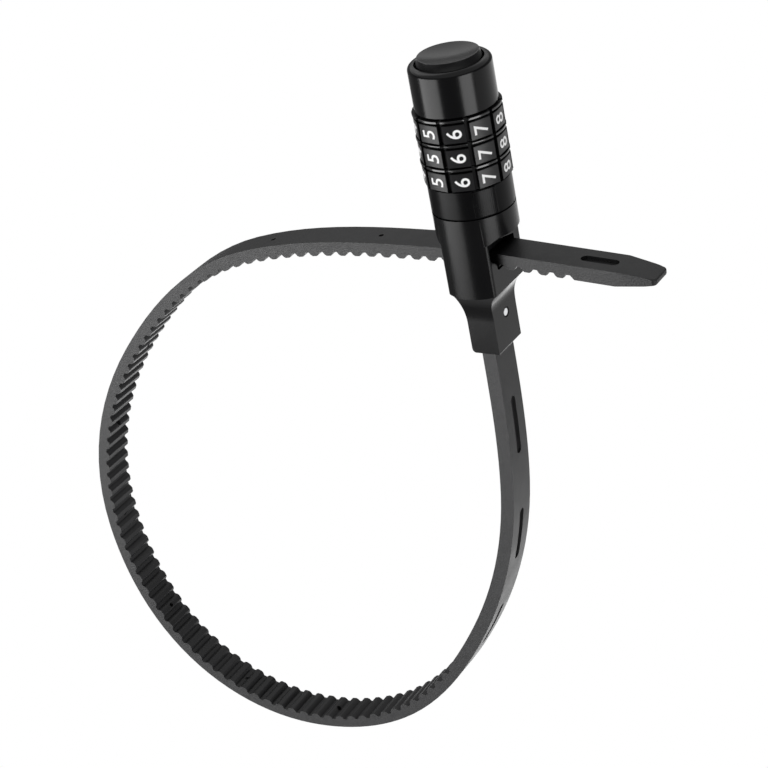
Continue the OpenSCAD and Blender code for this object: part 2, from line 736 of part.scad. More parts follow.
// ---- core tube, spindle and click spring ----
module core_tube() {
    color("#a3a6aa") difference() {
        union() {
            translate([0, 0, tube_flange_bottom]) cylinder(r = tube_flange_r, h = tube_flange_t);
            translate([0, 0, tube_flange_bottom]) cylinder(r = core_tube_r, h = tube_top - tube_flange_bottom);
        }
        translate([0, 0, tube_flange_bottom - cut_over])
            cylinder(r = spindle_r + run_fit, h = far);
        turn_to(index_angle) translate([0, -key_w / 2, key_bottom]) cube([far, key_w, far]);
        turn_to(index_angle + 180) translate([clip_bed_r, -clip_w / 2 - set_fit, collar_top])
            cube([far, clip_w + 2 * set_fit, cap_bottom - collar_top]);
        ring(far, core_tube_r - 0.5, ring_bottom, ring_t + set_fit);
    }
}
module spindle() {
    disc_top = fork_disc_bottom + fork_disc_t;
    color("#c9ccd0") union() {
        translate([0, 0, fork_disc_bottom]) cylinder(r = spindle_nose_r, h = spindle_nose_top - fork_disc_bottom);
        translate([0, 0, disc_top]) cylinder(r = spindle_r, h = boss_bottom - disc_top);
        for (z = fin_bottom)
            turn_to(index_angle) translate([0, -fin_w / 2, z]) cube([fin_reach, fin_w, fin_h]);
    }
}
module click_spring() {
    bed = clip_bed_r + set_fit;
    tip = core_tube_r + run_fit / 2;
    span = cap_bottom - collar_top - 2 * set_fit;
    color("#c9ccd0") turn_to(index_angle + 180) union() {
        translate([bed, -clip_w / 2, collar_top + set_fit]) cube([clip_t, clip_w, span]);
        for (z = web_bottom)
            along_y(bump_w) polygon([
                [bed, z + web_h / 2 - bump_l / 2],
                [tip, z + web_h / 2 - bump_l / 6],
                [tip, z + web_h / 2 + bump_l / 6],
                [bed, z + web_h / 2 + bump_l / 2]
            ]);
    }
}

// ---- collar ----
plate_t = 0.7;
plate_proud = 0.15;
plate_margin = 0.25;
frame_w = 0.35;
rib_count = 9;
screw_r = 0.6;
screw_grip = 4;
screw_head_r = 0.95;
screw_head_h = 1;
screw_circle_r = housing_r - 1.4;
module collar_screw_places() {
    for (a = [0, 180]) turn_to(a) translate([screw_circle_r, 0, 0]) children();
}
module index_sector(r_in, r_out, play) {
    span = index_span + 2 * play / r_in * 180 / PI;
    turn_to(index_angle - span / 2)
        rotate_extrude(angle = span) translate([r_in, collar_bottom + plate_margin - play])
            square([r_out - r_in, collar_top - collar_bottom - 2 * plate_margin + 2 * play]);
}
module index_collar() {
    seat = housing_top;
    color("#202021") difference() {
        union() {
            ring(collar_r, core_tube_r + run_fit, collar_bottom, collar_top - collar_bottom);
            ring(screw_circle_r + screw_r + 0.25, core_tube_r + run_fit, seat, collar_bottom - seat);
        }
        index_sector(collar_r - plate_t - set_fit, far, set_fit);
        collar_screw_places() {
            translate([0, 0, seat - cut_over]) cylinder(r = screw_r + set_fit, h = far, $fn = 32);
            translate([0, 0, collar_top - screw_head_h - set_fit])
                cylinder(r = screw_head_r + set_fit, h = far, $fn = 32);
        }
    }
}
module index_plate() {
    rib_step = (index_span - 4) / (rib_count + 1);
    color("#262627") union() {
        index_sector(collar_r - plate_t, collar_r, 0);
        for (i = [0:rib_count])
            turn_to(index_angle - index_span / 2 + 2 + (i + 0.5) * rib_step)
                translate([collar_r - set_fit, -0.09, collar_bottom + plate_margin])
                    cube([plate_proud, 0.18, collar_top - collar_bottom - 2 * plate_margin]);
        for (side = [-1, 1])
            turn_to(index_angle + side * (index_span / 2 - 1.2))
                translate([collar_r - set_fit, -frame_w / 2, collar_bottom + plate_margin])
                    cube([plate_proud + set_fit, frame_w, collar_top - collar_bottom - 2 * plate_margin]);
    }
}
module collar_screws() {
    color("#b4b7bb") collar_screw_places() difference() {
        union() {
            translate([0, 0, housing_top - screw_grip + 0.1])
                cylinder(r = screw_r, h = collar_top - housing_top + screw_grip - 0.1 - screw_head_h / 2, $fn = 32);
            translate([0, 0, collar_top - screw_head_h]) cylinder(r = screw_head_r, h = screw_head_h, $fn = 32);
        }
        translate([-screw_head_r, -0.15, collar_top - 0.4]) cube([2 * screw_head_r, 0.3, cut_over]);
    }
}

// ---- dials and code wheels ----
module dial(k) {
    bottom = dial_bottom[k];
    top = bottom + dial_h;
    pad_bottom = bottom + relief_h;
    pad_top = top - flange_h - neck_groove_h;
    chamfer = flange_h / 3;
    step = 360 / digit_count;
    color("#1e1e1f") difference() {
        union() {
            rotate_extrude() polygon([
                [dial_bore_r, bottom], [groove_floor_r, bottom],
                [groove_floor_r, top - flange_h], [flange_r, top - flange_h],
                [flange_r, top - chamfer], [flange_r - chamfer, top],
                [dial_bore_r, top]
            ]);
            translate([0, 0, pad_bottom]) turn_to(groove_angle) difference() {
                cylinder(r = pad_apothem / cos(step / 2), h = pad_top - pad_bottom, $fn = digit_count);
                translate([0, 0, -cut_over]) cylinder(r = groove_floor_r - 0.3, h = dial_h + 2 * cut_over);
            }
        }
        for (i = [0:digit_count - 1])
            turn_to(groove_angle + i * step)
                translate([groove_floor_r, -groove_w / 2, pad_bottom]) cube([far, groove_w, dial_h]);
        turn_to(groove_angle + step / 2) translate([0, -wheel_key_w / 2 - set_fit, bottom - cut_over])
            cube([dial_bore_r + wheel_key_h + set_fit, wheel_key_w + 2 * set_fit, dial_h + 2 * cut_over]);
    }
}
wheel_key_w = 1.6;
wheel_key_h = 0.7;
module code_wheel(k) {
    bottom = dial_bottom[k];
    step = 360 / digit_count;
    color("#b08d4c") difference() {
        union() {
            translate([0, 0, bottom]) cylinder(r = wheel_r, h = dial_h);
            turn_to(groove_angle + step / 2) translate([0, -wheel_key_w / 2, bottom])
                cube([dial_bore_r + wheel_key_h, wheel_key_w, dial_h]);
        }
        translate([0, 0, bottom - cut_over]) cylinder(r = wheel_bore_r, h = dial_h + 2 * cut_over);
        translate([0, 0, bottom - cut_over]) cylinder(r = gate_reach, h = web_up + cut_over);
        translate([0, 0, web_bottom[k] + web_h]) cylinder(r = gate_reach, h = dial_h);
        turn_to(index_angle) translate([0, -key_w / 2, bottom]) cube([gate_reach, key_w, dial_h]);
        for (i = [0:digit_count - 1])
            turn_to(index_angle + i * step) translate([wheel_bore_r, 0, bottom])
                cylinder(r = notch_r, h = dial_h, $fn = 24);
    }
}
module dial_washers() {
    washer_t = dial_gap - set_fit;
    color("#d9dadb") for (z = concat([cap_bottom - dial_gap], [for (b = dial_bottom) b - dial_gap]))
        difference() {
            ring(dial_bore_r - 0.3, wheel_bore_r, z + set_fit / 2, washer_t);
            turn_to(index_angle) translate([0, -key_w / 2, z]) cube([gate_reach, key_w, 1]);
            turn_to(index_angle + 180) translate([0, -clip_w / 2 - set_fit, z])
                cube([wheel_bore_r + 0.3, clip_w + 2 * set_fit, 1]);
        }
}

// ---- cap and button ----
module cap_base() {
    color("#a3a6aa") ring(cap_cavity_r - set_fit, core_tube_r + set_fit, cap_bottom, cap_base_t);
}
module retaining_ring() {
    color("#c9ccd0") difference() {
        ring(core_tube_r + 1.3, core_tube_r - 0.5 + set_fit, ring_bottom + set_fit / 2, ring_t);
        turn_to(index_angle) translate([0, -1.2, ring_bottom - cut_over]) cube([far, 2.4, 2 + cut_over]);
    }
}
module cap() {
    edge = cap_r - cap_edge_r;
    color("#141415") rotate_extrude() polygon(concat(
        [[cap_cavity_r, cap_bottom], [cap_r - 0.15, cap_bottom], [cap_r, cap_bottom + 0.15]],
        arc([edge, cap_top - cap_edge_r], cap_edge_r, 0, 90, 8),
        [[button_r + button_gap, cap_top], [button_r + button_gap, lip_bottom]],
        [[cap_cavity_r, lip_bottom]]
    ));
}
module push_button() {
    edge = 0.3;
    rim = button_rim_r - 0.5;
    dish_r = (rim * rim + button_dish * button_dish) / (2 * button_dish);
    color("#19191a") difference() {
        union() {
            rotate_extrude() polygon(concat(
                [[0, button_ceiling], [button_hollow_r, button_ceiling], [button_hollow_r, button_bottom]],
                [[button_flange_r, button_bottom], [button_flange_r, button_flange_top]],
                [[button_r, button_flange_top], [button_r, cap_top - 0.2]],
                arc([button_rim_r - edge, button_top - edge], edge, 0, 90, 6),
                [[0, button_top]]
            ));
            translate([0, 0, boss_bottom]) cylinder(r = boss_r, h = button_ceiling - boss_bottom + set_fit);
        }
        translate([0, 0, button_top - button_dish + dish_r]) sphere(r = dish_r, $fn = 180);
        translate([0, 0, boss_bottom - cut_over])
            cylinder(r = spindle_nose_r + set_fit, h = spindle_nose_top + set_fit - boss_bottom + cut_over);
    }
}
module button_spring() {
    color("#c9ccd0") coil(button_coil_r, button_wire, ring_bottom + ring_t + set_fit, button_ceiling,
        button_turns, "button spring");
}

strap();
strap_core();
lower_housing();
strap_pin();
pawl();
pawl_spring();
release_fork();
core_tube();
index_collar();
index_plate();
collar_screws();
click_spring();
dial(0);  // dial_1
dial(1);  // dial_2
dial(2);  // dial_3
code_wheel(0);  // code_wheel_1
code_wheel(1);  // code_wheel_2
code_wheel(2);  // code_wheel_3
dial_washers();
cap_base();
retaining_ring();
cap();
spindle();
push_button();
button_spring();
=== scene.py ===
"""Looks of a combination strap lock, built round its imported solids.

The lock is a nylon ratchet strap with a steel core, closed in a loop through a cylindrical
head with three digit dials and a push button. Sizes are in metres, in the frame of the solids:
+Z up the head's axis, +X the way the strap's free end comes out, Y along the strap's width.
"""

from __future__ import annotations

import logging
import math
from dataclasses import dataclass, field
from enum import Enum
from typing import Callable, Iterable

import bmesh
import bpy
from mathutils import Matrix, Vector

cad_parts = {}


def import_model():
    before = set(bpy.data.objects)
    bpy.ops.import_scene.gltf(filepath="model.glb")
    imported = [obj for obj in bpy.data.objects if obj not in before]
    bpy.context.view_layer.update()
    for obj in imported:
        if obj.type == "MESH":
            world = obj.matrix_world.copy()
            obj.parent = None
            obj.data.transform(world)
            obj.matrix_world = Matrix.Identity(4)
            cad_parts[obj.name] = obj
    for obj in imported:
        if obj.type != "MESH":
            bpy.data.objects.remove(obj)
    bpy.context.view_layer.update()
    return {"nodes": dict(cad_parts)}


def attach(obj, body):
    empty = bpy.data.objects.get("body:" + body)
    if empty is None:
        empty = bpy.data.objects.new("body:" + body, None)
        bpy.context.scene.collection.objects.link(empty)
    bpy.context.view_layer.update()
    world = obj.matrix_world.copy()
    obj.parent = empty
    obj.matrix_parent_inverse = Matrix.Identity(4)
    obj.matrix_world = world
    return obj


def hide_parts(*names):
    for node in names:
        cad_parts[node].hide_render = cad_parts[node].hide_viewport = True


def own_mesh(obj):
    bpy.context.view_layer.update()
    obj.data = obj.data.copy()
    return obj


LOG = logging.getLogger("strap_lock")
MM = 0.001

# Sockets of the node that mixes two colours, which have no names of their own
MIX_SHARE, MIX_FIRST, MIX_SECOND, MIX_RESULT = 0, 6, 7, 2


# ---------------------------------------------------------------- small tools


def linear(hex_colour: str) -> tuple[float, float, float, float]:
    """Turns an sRGB hex colour to linear.

    Args:
        hex_colour: Colour as "#rrggbb".

    Returns:
        Linear red, green, blue and an alpha of 1.
    """
    parts = [int(hex_colour[i : i + 2], 16) / 255 for i in (1, 3, 5)]
    turned = [c / 12.92 if c <= 0.04045 else ((c + 0.055) / 1.055) ** 2.4 for c in parts]
    return (turned[0], turned[1], turned[2], 1.0)


def add_node(tree: bpy.types.NodeTree, kind: str, settings: dict | None = None,
             inputs: dict | None = None) -> bpy.types.Node:
    """Adds a node with its settings and its links.

    Args:
        tree: Node tree to add to.
        kind: Node type, such as "ShaderNodeBump".
        settings: Attributes of the node to set.
        inputs: Input name or index, to a value or to the output socket that feeds it.

    Returns:
        The new node.
    """
    node = tree.nodes.new(kind)
    for name, value in (settings or {}).items():
        setattr(node, name, value)
    for name, value in (inputs or {}).items():
        if isinstance(value, bpy.types.NodeSocket):
            tree.links.new(value, node.inputs[name])
        else:
            node.inputs[name].default_value = value
    return node


def bare_material(name: str) -> bpy.types.Material:
    """Makes a material with an empty node tree."""
    made = bpy.data.materials.new(name)
    made.use_nodes = True
    made.node_tree.nodes.clear()
    return made


def place_shape(name: str, shape: bmesh.types.BMesh) -> bpy.types.Object:
    """Puts a finished shape in the scene.

    Args:
        name: Name of the object and its mesh.
        shape: The shape, which is freed.

    Returns:
        The new object, at the origin.
    """
    mesh = bpy.data.meshes.new(name)
    shape.to_mesh(mesh)
    shape.free()
    made = bpy.data.objects.new(name, mesh)
    bpy.context.scene.collection.objects.link(made)
    return made


def around_head(angle: float) -> Vector:
    """Returns the outward direction at an angle round the head, counted from -Y towards +X."""
    return Vector((math.sin(angle), -math.cos(angle), 0.0))


def direction(azimuth: float, elevation: float) -> Vector:
    """Returns the direction at an angle round the head and an angle above its level."""
    return around_head(azimuth) * math.cos(elevation) + Vector((0.0, 0.0, math.sin(elevation)))


def placed(right: Vector, up: Vector, out: Vector, centre: Vector) -> Matrix:
    """Returns the matrix that turns X, Y and Z to these directions and moves the origin."""
    return Matrix((
        (right.x, up.x, out.x, centre.x),
        (right.y, up.y, out.y, centre.y),
        (right.z, up.z, out.z, centre.z),
        (0.0, 0.0, 0.0, 1.0)))


# ---------------------------------------------------------------- finishes


class Marks(Enum):
    """How the making of a surface marks it."""

    GRAIN = "grain"
    ORANGE_PEEL = "orange peel"
    BRUSHED = "brushed"
    TURNED = "turned"


# How far lines are drawn out along each axis, as a share of a round mark's scale
DRAWN_OUT = {Marks.BRUSHED: (0.06, 1.0, 1.0), Marks.TURNED: (0.05, 0.05, 1.0)}


@dataclass(frozen=True)
class PaintedMouthShadow:
    """Painted shadow where the strap runs through the head and out of its mouth: where it lies, and
    how it looks.
    """

    end_mm: float
    start_mm: float = -5.0
    fade_mm: float = 2.6
    level_mm: float = 4.5
    colour: str = "#060606"
    specular: float = 0.05

    def spread(self, tree: bpy.types.NodeTree, place: bpy.types.NodeSocket,
               base: bpy.types.NodeSocket,
               specular: float) -> tuple[bpy.types.NodeSocket, bpy.types.NodeSocket]:
        """Paints the shadow on what runs through the head, darker and less shiny, with a soft end
        along X.

        Args:
            tree: Node tree to add to.
            place: Object coordinates.
            base: Colour of the clean surface.
            specular: Specular level of the clean surface.

        Returns:
            The base colour and the specular level with the painted shadow on them.
        """
        spot = add_node(tree, "ShaderNodeSeparateXYZ", {}, {0: place})
        along = add_node(tree, "ShaderNodeMapRange", {"interpolation_type": "SMOOTHSTEP"},
                         {"Value": spot.outputs["X"], "From Min": (self.end_mm - self.fade_mm) * MM,
                          "From Max": self.end_mm * MM, "To Min": 1.0, "To Max": 0.0})
        level = add_node(tree, "ShaderNodeMath", {"operation": "ABSOLUTE"}, {0: spot.outputs["Z"]})
        near = add_node(tree, "ShaderNodeMath", {"operation": "LESS_THAN"},
                        {0: level.outputs[0], 1: self.level_mm * MM})
        inside = add_node(tree, "ShaderNodeMath", {"operation": "GREATER_THAN"},
                          {0: spot.outputs["X"], 1: self.start_mm * MM})
        passage = add_node(tree, "ShaderNodeMath", {"operation": "MULTIPLY"},
                           {0: near.outputs[0], 1: inside.outputs[0]})
        share = add_node(tree, "ShaderNodeMath", {"operation": "MULTIPLY"},
                         {0: along.outputs[0], 1: passage.outputs[0]}).outputs[0]
        darkened = add_node(tree, "ShaderNodeMix", {"data_type": "RGBA"},
                            {MIX_SHARE: share, MIX_FIRST: base, MIX_SECOND: linear(self.colour)})
        dulled = add_node(tree, "ShaderNodeMapRange", {},
                          {"Value": share, "To Min": specular, "To Max": self.specular})
        return darkened.outputs[MIX_RESULT], dulled.outputs[0]


@dataclass(frozen=True)
class Finish:
    """One surface finish, with the real sizes of what the eye sees on it."""

    name: str
    colour: str
    colour_worn: str
    roughness: float
    marks: Marks
    mark_mm: float
    mark_depth_mm: float
    metallic: float = 0.0
    specular: float = 0.5
    rough_swing: float = 0.06
    blend_mm: float = 6.0
    # Painted shadow over part of the surface, if any
    painted_shadow: PaintedMouthShadow | None = None

    def pattern(self, tree: bpy.types.NodeTree,
                place: bpy.types.NodeSocket) -> bpy.types.NodeSocket:
        """Builds the fine marks of the surface.

        Args:
            tree: Node tree to add to.
            place: Object coordinates.

        Returns:
            The height of the marks, 0 to 1.
        """
        scale = 1.0 / (self.mark_mm * MM)
        if self.marks in DRAWN_OUT:
            drawn = add_node(tree, "ShaderNodeMapping", {"vector_type": "POINT"},
                             {"Vector": place, "Scale": DRAWN_OUT[self.marks]})
            lines = add_node(tree, "ShaderNodeTexNoise", {},
                             {"Vector": drawn.outputs["Vector"], "Scale": scale, "Detail": 3.0})
            return lines.outputs["Fac"]
        if self.marks is Marks.ORANGE_PEEL:
            peel = add_node(tree, "ShaderNodeTexNoise", {},
                            {"Vector": place, "Scale": scale, "Detail": 1.0, "Roughness": 0.4})
            return peel.outputs["Fac"]
        pits = add_node(tree, "ShaderNodeTexVoronoi", {"feature": "SMOOTH_F1"},
                        {"Vector": place, "Scale": scale, "Smoothness": 0.6})
        grain = add_node(tree, "ShaderNodeTexNoise", {},
                         {"Vector": place, "Scale": scale * 0.8, "Detail": 4.0, "Roughness": 0.65})
        both = add_node(tree, "ShaderNodeMath", {"operation": "ADD"},
                        {0: pits.outputs["Distance"], 1: grain.outputs["Fac"]})
        return both.outputs[0]

    def material(self) -> bpy.types.Material:
        """Builds the finish as a node material.

        Returns:
            The material, made once and then reused.
        """
        made = bpy.data.materials.get(self.name)
        if made:
            return made
        made = bare_material(self.name)
        tree = made.node_tree
        place = add_node(tree, "ShaderNodeTexCoord").outputs["Object"]
        cloud = add_node(tree, "ShaderNodeTexNoise", {},
                         {"Vector": place, "Scale": 1.0 / (self.blend_mm * MM), "Detail": 5.0,
                          "Roughness": 0.6}).outputs["Fac"]
        height = self.pattern(tree, place)
        colour = add_node(tree, "ShaderNodeMix", {"data_type": "RGBA"},
                          {MIX_SHARE: cloud, MIX_FIRST: linear(self.colour),
                           MIX_SECOND: linear(self.colour_worn)})
        rough = add_node(tree, "ShaderNodeMapRange", {},
                         {"Value": cloud, "From Min": 0.3, "From Max": 0.7,
                          "To Min": self.roughness - self.rough_swing,
                          "To Max": self.roughness + self.rough_swing})
        bump = add_node(tree, "ShaderNodeBump", {},
                        {"Height": height, "Strength": 1.0, "Distance": self.mark_depth_mm * MM})
        base: bpy.types.NodeSocket = colour.outputs[MIX_RESULT]
        shine: bpy.types.NodeSocket | float = self.specular
        # The painted shadow darkens the colour and lowers the specular level where it lies
        if self.painted_shadow:
            base, shine = self.painted_shadow.spread(tree, place, base, self.specular)
        shader = add_node(tree, "ShaderNodeBsdfPrincipled", {},
                          {"Base Color": base, "Roughness": rough.outputs[0],
                           "Normal": bump.outputs[0], "Metallic": self.metallic,
                           "Specular IOR Level": shine})
        add_node(tree, "ShaderNodeOutputMaterial", {}, {"Surface": shader.outputs[0]})
        return made


# Blasted and cast faces have a grain of 0.05 to 0.1 mm, which is too fine to show, so it is drawn
# at 0.3 mm or more.

# Painted shadow where the strap runs through the head and out of its front mouth
MOUTH_PAINTED_SHADOW = PaintedMouthShadow(end_mm=8.6)
# Glass-filled nylon 6, injection moulded: smooth and satin on its broad faces, with the painted
# shadow at the head's mouth.
STRAP_NYLON = Finish("moulded_nylon", "#1e1e1f", "#252526", 0.44, Marks.GRAIN, 0.3, 0.008,
                     specular=0.22, rough_swing=0.04, painted_shadow=MOUTH_PAINTED_SHADOW)
# Its narrow sides are scuffed and dry, with glass fibres at the surface, and carry the same painted
# shadow.
STRAP_SIDE = Finish("scuffed_nylon_side", "#1c1c1d", "#39393a", 0.48, Marks.GRAIN, 0.35, 0.045,
                    specular=0.42, rough_swing=0.06, blend_mm=1.2, painted_shadow=MOUTH_PAINTED_SHADOW)
# Die-cast zinc under black electrophoretic lacquer: smooth, semi-gloss, faint orange peel.
BLACK_LACQUER = Finish("lacquered_zinc", "#0b0b0c", "#0f0f10", 0.24, Marks.ORANGE_PEEL, 0.9, 0.0008,
                       specular=0.17, rough_swing=0.02)
# The cap is polished before it is lacquered.
CAP_LACQUER = Finish("polished_lacquered_zinc", "#0a0a0b", "#0d0d0e", 0.2, Marks.ORANGE_PEEL, 0.9,
                     0.0004, specular=0.18, rough_swing=0.01)
# The collar has the same lacquer over a bead-blasted casting, so it is duller.
SATIN_LACQUER = Finish("satin_lacquered_zinc", "#080809", "#0b0b0c", 0.3, Marks.GRAIN, 0.3, 0.0015,
                       specular=0.1, rough_swing=0.03)
# The ribbed plate is left shiny on its edges, so that the index line shows.
PLATE_LACQUER = Finish("index_plate_lacquer", "#0b0b0c", "#101011", 0.26, Marks.GRAIN, 0.3, 0.001,
                       specular=0.12, rough_swing=0.03)
# The digit pads are blasted before they are coated, which makes them a soft dark grey.
DIAL_COAT = Finish("blasted_dial_coat", "#1a1a1b", "#202021", 0.3, Marks.GRAIN, 0.3, 0.003,
                   specular=0.24, rough_swing=0.03)
# The grooves between the pads keep the dull first coat; this darker, duller coat on the ring also
# serves as painted shade in the grooves and in the gaps between the dials.
DIAL_GROOVE_COAT_AND_SHADE = Finish("dull_dial_coat_painted_shade", "#0b0b0c", "#0f0f10", 0.4, Marks.GRAIN, 0.3, 0.002,
                     specular=0.08, rough_swing=0.03)
# Thumbs burnish the flange on top of each dial.
DIAL_EDGE = Finish("burnished_dial_edge", "#141415", "#1a1a1b", 0.2, Marks.TURNED, 0.1, 0.0006,
                   specular=0.55, rough_swing=0.02)
# Moulded ABS for the button, polished, then worn satin where a thumb presses.
BUTTON_ABS = Finish("moulded_abs", "#0a0a0b", "#0e0e0f", 0.22, Marks.ORANGE_PEEL, 0.7, 0.0008,
                    specular=0.32, rough_swing=0.03)
# Pad-printed epoxy ink: dense white, slightly soft in its gloss.
DIGIT_INK = Finish("white_epoxy_ink", "#f2f2f2", "#fafafa", 0.45, Marks.ORANGE_PEEL, 0.3, 0.001,
                   specular=0.4, rough_swing=0.04)
# Stainless steel pin, ground on its end.
PIN_STEEL = Finish("ground_stainless_pin", "#d9dadc", "#e6e7e9", 0.25, Marks.BRUSHED, 0.1, 0.001,
                   metallic=1.0)
# Rolled spring-steel band of the strap's core.
BAND_STEEL = Finish("rolled_band_steel", "#8f9296", "#9b9ea2", 0.35, Marks.BRUSHED, 0.12, 0.002,
                    metallic=1.0)
# Hardened and tumbled steel of the pawl, fork and spindle.
TOOL_STEEL = Finish("tumbled_tool_steel", "#85888c", "#94979b", 0.38, Marks.GRAIN, 0.3, 0.004,
                    metallic=1.0)
# Hard-drawn spring wire and strip.
SPRING_STEEL = Finish("drawn_spring_wire", "#a6a9ad", "#b7babd", 0.28, Marks.BRUSHED, 0.08, 0.001,
                      metallic=1.0)
# Zinc-plated screw steel, slightly blue.
SCREW_STEEL = Finish("zinc_plated_steel", "#a3a8b0", "#b4b8be", 0.33, Marks.TURNED, 0.1, 0.001,
                     metallic=1.0)
# Raw die-cast zinc: grey, with soft flow marks.
RAW_ZINC = Finish("raw_cast_zinc", "#8b8e93", "#a0a3a7", 0.42, Marks.GRAIN, 0.5, 0.006,
                  metallic=1.0)
# Free-machining brass, turned, with tool rings up its height.
TURNED_BRASS = Finish("turned_brass", "#b08d4c", "#bf9d5c", 0.3, Marks.TURNED, 0.12, 0.002,
                      metallic=1.0)
# Natural nylon washer sheet, milky.
WASHER_NYLON = Finish("natural_nylon_sheet", "#d2d2cc", "#dadad5", 0.5, Marks.GRAIN, 0.3, 0.002)


# ---------------------------------------------------------------- making pieces


@dataclass(frozen=True)
class Rounding:
    """A rounding of some of a solid's edges: its radius, its edges, and its faces across."""

    radius_mm: float
    chosen: Callable[[bmesh.types.BMEdge], bool]
    segments: int = 2


@dataclass
class Workshop:
    """Turns solids and meshes into finished pieces of the lock."""

    nodes: dict[str, bpy.types.Object]
    made: list[str] = field(default_factory=list)
    # Corners closer than this are one; faces that turn by less are flat; edges by more are sharp
    weld: float = 0.002 * MM
    flat_below: float = math.radians(0.4)
    sharp_above: float = math.radians(24.0)

    def finish_piece(self, piece: bpy.types.Object, finish: Finish, body: str) -> None:
        """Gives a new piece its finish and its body.

        Args:
            piece: The piece, at the origin.
            finish: Its surface finish.
            body: The body that it moves with.
        """
        piece.data.materials.clear()
        piece.data.materials.append(finish.material())
        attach(piece, body)
        self.made.append(piece.name)
        LOG.info("piece %s: %d faces, rides on %s", piece.name, len(piece.data.polygons), body)

    def dress_node(self, node: str, finish: Finish) -> None:
        """Gives a solid that stays as it is its finish."""
        slots = self.nodes[node].data.materials
        slots.clear()
        slots.append(finish.material())
        LOG.info("node %s: %s", node, finish.name)

    def new_piece(self, name: str, shape: bmesh.types.BMesh,
                  smooth_below: float = 35.0) -> bpy.types.Object:
        """Makes an object of a finished shape.

        Args:
            name: Name of the piece.
            shape: Its shape, which is freed.
            smooth_below: Edges that turn by fewer degrees than this are shaded round.

        Returns:
            The new object, at the origin.
        """
        for face in shape.faces:
            face.smooth = True
        limit = math.radians(smooth_below)
        for edge in shape.edges:
            edge.smooth = len(edge.link_faces) == 2 and edge.calc_face_angle(0.0) < limit
        piece = place_shape(name, shape)
        weights = piece.modifiers.new("even_normals", "WEIGHTED_NORMAL")
        weights.keep_sharp = True
        return piece

    def softened(self, node: str, name: str, roundings: Iterable[Rounding],
                 smooth_below: float = 35.0,
                 trimmed: Callable[[Vector], Vector] | None = None) -> bpy.types.Object:
        """Copies a solid and rounds some of its edges, as moulding, casting or tumbling does.

        Args:
            node: The solid to copy, which the new piece then stands for.
            name: Name of the new piece.
            roundings: The roundings, made one after the other.
            smooth_below: Edges that turn by fewer degrees than this are shaded round.
            trimmed: Moves a corner a little before the edges are rounded.

        Returns:
            The new object.
        """
        shape = bmesh.new()
        shape.from_mesh(self.nodes[node].data)
        bmesh.ops.remove_doubles(shape, verts=shape.verts, dist=self.weld)
        if trimmed:
            for corner in shape.verts:
                corner.co = trimmed(corner.co)
        bmesh.ops.dissolve_limit(shape, angle_limit=self.flat_below, verts=shape.verts,
                                 edges=shape.edges, use_dissolve_boundaries=False, delimit=set())
        for rounding in roundings:
            sharp = [e for e in shape.edges if len(e.link_faces) == 2
                     and e.calc_face_angle(0.0) > self.sharp_above and rounding.chosen(e)]
            if sharp:
                bmesh.ops.bevel(shape, geom=sharp, offset=rounding.radius_mm * MM,
                                offset_type="OFFSET", segments=rounding.segments, profile=0.5,
                                affect="EDGES", material=-1, clamp_overlap=True, loop_slide=True)
            LOG.info("%s: %d edges rounded by %.2f mm", name, len(sharp), rounding.radius_mm)
        piece = self.new_piece(name, shape, smooth_below)
        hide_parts(node)
        return piece

    def finish_part(self, piece: bpy.types.Object, finish: Finish,
                    chosen: Callable[[bpy.types.MeshPolygon], bool]) -> None:
        """Gives some faces of a finished piece another finish.

        Args:
            piece: The piece.
            finish: The other finish.
            chosen: Says of a face whether it gets it.
        """
        piece.data.materials.append(finish.material())
        place = len(piece.data.materials) - 1
        for face in piece.data.polygons:
            if chosen(face):
                face.material_index = place


# Points that are closer than this count as lying on a line or a circle
CLOSE = 0.01 * MM
DIGITS = 10


def middle(edge: bmesh.types.BMEdge) -> Vector:
    """Returns the middle of an edge."""
    return (edge.verts[0].co + edge.verts[1].co) / 2


def off_axis(spot: Vector) -> float:
    """Returns a point's distance from the head's axis."""
    return math.hypot(spot.x, spot.y)


def at_radius(spot: Vector, radius: float) -> Vector:
    """Moves a point to a distance from the head's axis."""
    share = radius / max(off_axis(spot), 1e-9)
    return Vector((spot.x * share, spot.y * share, spot.z))


# ---------------------------------------------------------------- the strap


